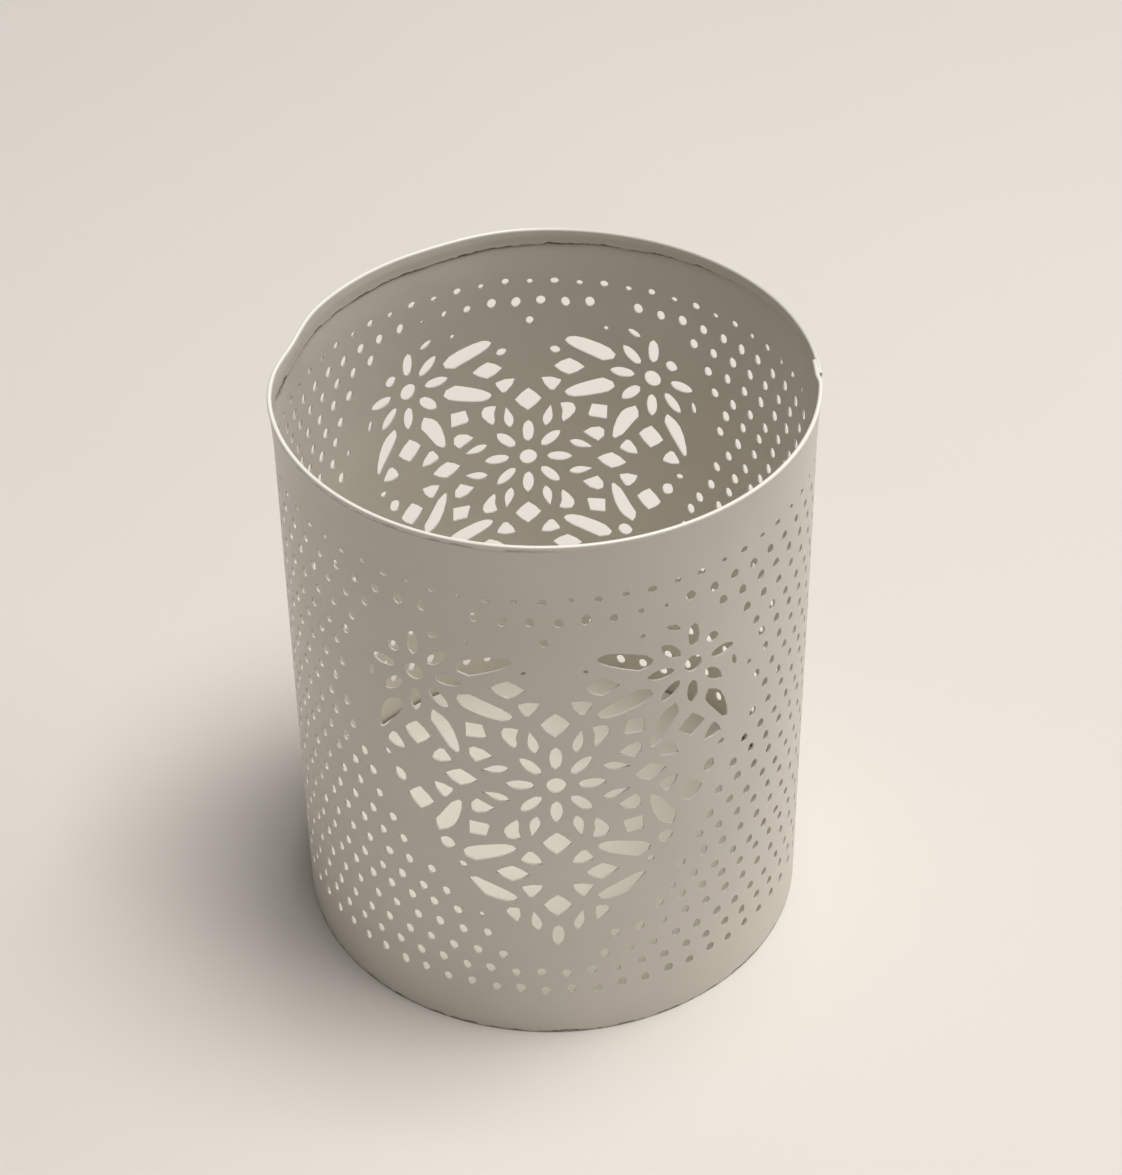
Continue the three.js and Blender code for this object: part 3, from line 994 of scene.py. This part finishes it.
class HOLDER_OT_sleeve(bpy.types.Operator):
    """Pierces a flat sheet with lace and dots, folds its hem and rolls it into the sleeve"""

    bl_idname = "holder.sleeve"
    bl_label = "Rolled sleeve"

    def execute(self, context):
        sleeve = context.scene.holder_sleeve
        lace = context.scene.holder_lace
        sheet = flat_sheet(sleeve)
        pierce(sheet, lace_cutters(sleeve, lace) + [dot_cutter(sleeve, lace)])
        roll_sheet(sheet, sleeve)
        clean_mesh(sheet, SLEEVE_MERGE)
        sheet.data.materials.clear()
        sheet.data.materials.append(paint_material("sleeve_paint", sleeve.paint, EDGE_ATTRIBUTES))
        finish_piece(sheet, "rolled_sleeve", "sleeve")
        return {"FINISHED"}


# Floor pan

PAN_SIDES = 240
PAN_MERGE = 0.004 * MM
LEVEL = 0.999
# Widths of the floor's rings from the bend inwards, in shares of the pan's radius
FLOOR_RINGS = (0.10, 0.16, 0.22, 0.2)
# Shares of the radius between which the fit to the wall takes hold
FITTED_EDGE = (0.88, 0.97)
# How far past the sheet's inner end the pan comes out to the wall again, in degrees
STEP_OUT = (0.4, 1.6)
# Where the edge is pressed out at the back: start, end and blend in degrees
SPREAD_BACK = (60, 120, 15)


def fit_to_wall(obj, pan, sleeve):
    """Draws the pan's edge in beside the sheet's inner end, and out to the wall at the back."""
    outer_end = outer_end_azimuth(sleeve)
    inner_end = 2 * sleeve.lap_azimuth - outer_end
    joggle = math.degrees(sleeve.joggle / sleeve.radius)
    for vertex in obj.data.vertices:
        x, y, z = vertex.co
        azimuth = math.degrees(math.atan2(y, x))
        under = smoothstep(outer_end - joggle, outer_end, azimuth)
        under -= smoothstep(inner_end + STEP_OUT[0], inner_end + STEP_OUT[1], azimuth)
        reach = math.hypot(x, y)
        edge = smoothstep(FITTED_EDGE[0] * pan.radius, FITTED_EDGE[1] * pan.radius, reach)
        outwards = pan.back_spread * window(*SPREAD_BACK, azimuth) - sleeve.thickness * under
        share = 1 + outwards * edge / max(reach, sleeve.thickness)
        vertex.co = Vector((x * share, y * share, z))


class HOLDER_OT_floor_pan(bpy.types.Operator):
    """Presses the round floor with its bent edge and skirt"""

    bl_idname = "holder.floor_pan"
    bl_label = "Floor pan"

    def execute(self, context):
        pan = context.scene.holder_pan
        depth = pan.floor_height - pan.foot_gap
        deselect_all()
        bpy.ops.mesh.primitive_cylinder_add(
            vertices=PAN_SIDES, radius=pan.radius, depth=depth,
            location=(0, 0, pan.foot_gap + depth / 2))
        obj = bpy.context.object
        make_active(obj)
        bpy.ops.object.transform_apply(location=True, rotation=False, scale=False)
        edit_faces(obj, lambda face: face.normal.z < -LEVEL)
        bpy.ops.mesh.delete(type="ONLY_FACE")
        edit_edges(obj, lambda a, b: min(a.z, b.z) > pan.floor_height - SAME_PLACE)
        bpy.ops.mesh.bevel(offset=pan.bend, segments=5, profile=0.5, affect="EDGES")
        edit_faces(obj, lambda face: face.normal.z > LEVEL)
        for share in FLOOR_RINGS:
            bpy.ops.mesh.inset(thickness=share * pan.radius, depth=0)
        object_mode()
        gauge = obj.modifiers.new("gauge", "SOLIDIFY")
        gauge.thickness = pan.thickness
        gauge.offset = -1.0
        gauge.use_even_offset = True
        apply_modifiers(obj)
        clean_mesh(obj, PAN_MERGE)
        fit_to_wall(obj, pan, context.scene.holder_sleeve)
        obj.data.materials.clear()
        obj.data.materials.append(paint_material("pan_paint", pan.paint, {}))
        finish_piece(obj, "pressed_floor_pan", "floor_pan")
        return {"FINISHED"}


# Materials

def group_socket(group, name, kind, in_out, default=None):
    socket = group.interface.new_socket(name=name, in_out=in_out, socket_type=kind)
    if default is not None:
        socket.default_value = default


def link(tree, source, target):
    tree.links.new(source, target)


def map_range(tree, value, source, target):
    node = tree.nodes.new("ShaderNodeMapRange")
    node.inputs["From Min"].default_value, node.inputs["From Max"].default_value = source
    node.inputs["To Min"].default_value, node.inputs["To Max"].default_value = target
    link(tree, value, node.inputs["Value"])
    return node.outputs["Result"]


def calculated(tree, operation, first, second):
    node = tree.nodes.new("ShaderNodeMath")
    node.operation = operation
    link(tree, first, node.inputs[0])
    link(tree, second, node.inputs[1])
    return node.outputs["Value"]


def product(tree, first, *others):
    for other in others:
        first = calculated(tree, "MULTIPLY", first, other)
    return first


def noise_texture(tree, scale, detail):
    """Noise on Object coordinates, so that it stays on the piece."""
    coordinates = tree.nodes.new("ShaderNodeTexCoord")
    node = tree.nodes.new("ShaderNodeTexNoise")
    node.inputs["Scale"].default_value = scale
    node.inputs["Detail"].default_value = detail
    link(tree, coordinates.outputs["Object"], node.inputs["Vector"])
    return node.outputs["Fac"]


def covered(tree, under, cover, share):
    """A colour with this share of it covered by a plain one."""
    node = tree.nodes.new("ShaderNodeMix")
    node.data_type = "RGBA"
    link(tree, share, node.inputs["Factor"])
    link(tree, under, node.inputs["A"])
    node.inputs["B"].default_value = (*cover, 1.0)
    return node.outputs["Result"]


# Colour of the painted shade that ambient occlusion lays into nooks, creases and joints
NOOK_SHADE = (0.16, 0.13, 0.10)
# Colour of the dark line: painted contact shadow and dirt at the foot, painted shade under the
# bead, painted shade and dirt under the hem's edge
GRIME_AND_SHADE = (0.10, 0.08, 0.06)
# Pale colour of the painted highlight along the rim's top
RIM_HIGHLIGHT = (0.95, 0.91, 0.82)


def paint_surface_group():
    """Node group: cloudy colour, painted shade in nooks, a dark line of painted shade and dirt
    along the foot, bead and hem, a painted highlight on the rim's top and the fine orange peel of
    sprayed paint.
    """
    name = "matt_paint_surface"
    group = bpy.data.node_groups.get(name)
    if group:
        return group
    group = bpy.data.node_groups.new(name, "ShaderNodeTree")
    group_socket(group, "Paint", "NodeSocketColor", "INPUT", (0.6, 0.57, 0.5, 1.0))
    group_socket(group, "Cloud amount", "NodeSocketFloat", "INPUT", 0.06)
    group_socket(group, "Nook shade amount", "NodeSocketFloat", "INPUT", 0.12)
    group_socket(group, "Below edge", "NodeSocketFloat", "INPUT", 9.0)
    group_socket(group, "Grime and shade", "NodeSocketFloat", "INPUT", 0.0)
    group_socket(group, "Rim highlight", "NodeSocketFloat", "INPUT", 0.0)
    group_socket(group, "Color", "NodeSocketColor", "OUTPUT")
    group_socket(group, "Roughness", "NodeSocketFloat", "OUTPUT")
    group_socket(group, "Height", "NodeSocketFloat", "OUTPUT")
    nodes = group.nodes
    inputs = nodes.new("NodeGroupInput").outputs
    outputs = nodes.new("NodeGroupOutput").inputs

    cloud = noise_texture(group, scale=45.0, detail=4.0)
    clouds = map_range(group, cloud, (0.3, 0.7), (-1.0, 1.0))
    shade = nodes.new("ShaderNodeMath")
    shade.operation = "MULTIPLY_ADD"
    link(group, clouds, shade.inputs[0])
    link(group, inputs["Cloud amount"], shade.inputs[1])
    shade.inputs[2].default_value = 1.0
    clouded = nodes.new("ShaderNodeVectorMath")
    clouded.operation = "SCALE"
    link(group, inputs["Paint"], clouded.inputs[0])
    link(group, shade.outputs["Value"], clouded.inputs["Scale"])

    # Painted shade: the paint darkens where ambient occlusion finds nooks, creases and the joint
    # between parts
    nooks = nodes.new("ShaderNodeAmbientOcclusion")
    nooks.inputs["Distance"].default_value = 0.7 * MM
    nooks.samples = 6
    nook_shade = map_range(group, nooks.outputs["AO"], (0.35, 0.9), (1.0, 0.0))
    nook_shade_share = product(group, nook_shade, inputs["Nook shade amount"])
    nook_shaded = covered(group, clouded.outputs["Vector"], NOOK_SHADE, nook_shade_share)

    # Dark ragged line past the foot, bead and hem edges: painted contact shadow and dirt at the
    # foot, painted shade under the bead, painted shade and dirt under the hem
    broken = noise_texture(group, scale=420.0, detail=3.0)
    patches = map_range(group, broken, (0.38, 0.58), (0.2, 1.0))
    ragged = map_range(group, broken, (0.3, 0.7), (-0.22, 0.22))
    past_edge = calculated(group, "ADD", inputs["Below edge"], ragged)
    onset = map_range(group, past_edge, (-0.12, 0.02), (0.0, 1.0))
    ending = map_range(group, past_edge, (0.22, 0.46), (1.0, 0.0))
    grime_and_shade_share = product(group, onset, ending, patches, inputs["Grime and shade"])
    lined = covered(group, nook_shaded, GRIME_AND_SHADE, grime_and_shade_share)
    # Painted highlight: the rim's top is covered with a paler colour
    link(group, covered(group, lined, RIM_HIGHLIGHT, inputs["Rim highlight"]), outputs["Color"])

    speckle = noise_texture(group, scale=900.0, detail=2.0)
    link(group, map_range(group, speckle, (0.35, 0.65), (0.28, 0.38)), outputs["Roughness"])
    link(group, speckle, outputs["Height"])
    return group


def plain_material(name, specular):
    """A new material, its node tree and its shader, which reflects this much."""
    material = bpy.data.materials.new(name)
    material.use_nodes = True
    shader = material.node_tree.nodes["Principled BSDF"]
    shader.inputs["Metallic"].default_value = 0.0
    shader.inputs["Specular IOR Level"].default_value = specular
    return material, material.node_tree, shader


def paint_material(name, colour, edge_attributes):
    """Matt paint, with point attributes on the inputs that this names."""
    material, tree, shader = plain_material(name, specular=0.4)
    surface = tree.nodes.new("ShaderNodeGroup")
    surface.node_tree = paint_surface_group()
    surface.inputs["Paint"].default_value = (*colour, 1.0)
    surface.inputs["Cloud amount"].default_value = 0.035
    # Strength of the painted shade in nooks
    surface.inputs["Nook shade amount"].default_value = 0.3
    for socket, attribute in edge_attributes.items():
        reader = tree.nodes.new("ShaderNodeAttribute")
        reader.attribute_name = attribute
        link(tree, reader.outputs["Fac"], surface.inputs[socket])
    link(tree, surface.outputs["Color"], shader.inputs["Base Color"])
    link(tree, surface.outputs["Roughness"], shader.inputs["Roughness"])
    bump = tree.nodes.new("ShaderNodeBump")
    bump.inputs["Strength"].default_value = 0.25
    bump.inputs["Distance"].default_value = 0.02 * MM
    link(tree, surface.outputs["Height"], bump.inputs["Height"])
    link(tree, bump.outputs["Normal"], shader.inputs["Normal"])
    return material


# Stage

def soft_lamp(name, stage, azimuth, elevation, size, power):
    """A square lamp that faces the holder from this direction."""
    turn, rise = math.radians(azimuth), math.radians(elevation)
    level = math.cos(rise)
    toward = Vector((math.cos(turn) * level, math.sin(turn) * level, math.sin(rise)))
    data = bpy.data.lights.new(name, "AREA")
    data.shape = "SQUARE"
    data.size = size
    data.energy = power
    lamp = bpy.data.objects.new(name, data)
    lamp.location = toward * stage.lamp_distance
    lamp.rotation_mode = "QUATERNION"
    lamp.rotation_quaternion = (-toward).to_track_quat("-Z", "Y")
    bpy.context.scene.collection.objects.link(lamp)


# Where the photograph was taken from and how the camera was turned, in radians
CAMERA_PLACE = (0, -355.4 * MM, 348.08 * MM)
CAMERA_YAW = 0.0058
CAMERA_PITCH = -0.6832
CAMERA_ROLL = -0.0130


def photo_camera(stage):
    """Sets the camera that gives the photograph's view."""
    yaw, pitch, roll = CAMERA_YAW, CAMERA_PITCH, CAMERA_ROLL
    level = math.cos(pitch)
    forward = Vector((math.sin(yaw) * level, math.cos(yaw) * level, math.sin(pitch)))
    right = Vector((math.cos(yaw), -math.sin(yaw), 0))
    up = right.cross(forward)
    rolled_right = math.cos(roll) * right + math.sin(roll) * up
    rolled_up = math.cos(roll) * up - math.sin(roll) * right
    turn = Matrix((rolled_right, rolled_up, -forward)).transposed()
    data = bpy.data.cameras.new("photo_camera")
    data.lens = stage.lens
    data.sensor_width = 36.0
    data.clip_start = 0.01
    camera = bpy.data.objects.new("photo_camera", data)
    camera.matrix_world = Matrix.Translation(CAMERA_PLACE) @ turn.to_4x4()
    bpy.context.scene.collection.objects.link(camera)
    bpy.context.scene.camera = camera


TABLE_WIDTH = 6.0


def table_material(stage):
    material, tree, shader = plain_material("table_surface", specular=0.3)
    cloudy = tree.nodes.new("ShaderNodeMix")
    cloudy.data_type = "RGBA"
    cloudy.inputs["A"].default_value = (*[0.97 * c for c in stage.table], 1.0)
    cloudy.inputs["B"].default_value = (*[min(1.0, 1.02 * c) for c in stage.table], 1.0)
    link(tree, noise_texture(tree, scale=6.0, detail=3.0), cloudy.inputs["Factor"])
    link(tree, cloudy.outputs["Result"], shader.inputs["Base Color"])
    shader.inputs["Roughness"].default_value = 0.6
    return material


class HOLDER_OT_stage(bpy.types.Operator):
    """Sets the table, the soft window light and the camera"""

    bl_idname = "holder.stage"
    bl_label = "Stage"

    def execute(self, context):
        scene = context.scene
        stage = scene.holder_stage
        deselect_all()
        bpy.ops.mesh.primitive_plane_add(size=TABLE_WIDTH, location=(0, 0, 0))
        table = bpy.context.object
        table.name = "table"
        table.data.materials.append(table_material(stage))
        soft_lamp(
            "key_light", stage, stage.key_azimuth, stage.key_elevation, stage.key_size,
            stage.key_power)
        soft_lamp(
            "side_light", stage, stage.side_azimuth, stage.side_elevation, stage.side_size,
            stage.side_power)
        world = bpy.data.worlds.new("room_light")
        world.use_nodes = True
        background = world.node_tree.nodes["Background"]
        background.inputs["Color"].default_value = (1.0, 1.0, 1.0, 1.0)
        background.inputs["Strength"].default_value = stage.fill
        scene.world = world
        scene.view_settings.view_transform = "Standard"
        photo_camera(stage)
        return {"FINISHED"}


# Panel and registration

class HOLDER_PT_panel(bpy.types.Panel):
    """Lists the pieces of the candle holder"""

    bl_idname = "HOLDER_PT_panel"
    bl_label = "Candle holder"
    bl_space_type = "VIEW_3D"
    bl_region_type = "UI"
    bl_category = "Candle holder"

    def draw(self, context):
        column = self.layout.column()
        for operator in OPERATORS:
            column.operator(operator.bl_idname)


OPERATORS = (HOLDER_OT_sleeve, HOLDER_OT_floor_pan, HOLDER_OT_stage)
SETTINGS = {
    "holder_sleeve": HolderSleeveSettings,
    "holder_lace": HolderLaceSettings,
    "holder_pan": HolderPanSettings,
    "holder_stage": HolderStageSettings,
}


def register():
    for cls in (*SETTINGS.values(), *OPERATORS, HOLDER_PT_panel):
        bpy.utils.register_class(cls)
    for name, cls in SETTINGS.items():
        setattr(bpy.types.Scene, name, PointerProperty(type=cls))


def unregister():
    for name in SETTINGS:
        delattr(bpy.types.Scene, name)
    for cls in reversed((*SETTINGS.values(), *OPERATORS, HOLDER_PT_panel)):
        bpy.utils.unregister_class(cls)


def main():
    register()
    bpy.ops.holder.sleeve()
    bpy.ops.holder.floor_pan()
    bpy.ops.holder.stage()


if __name__ == "__main__":
    main()
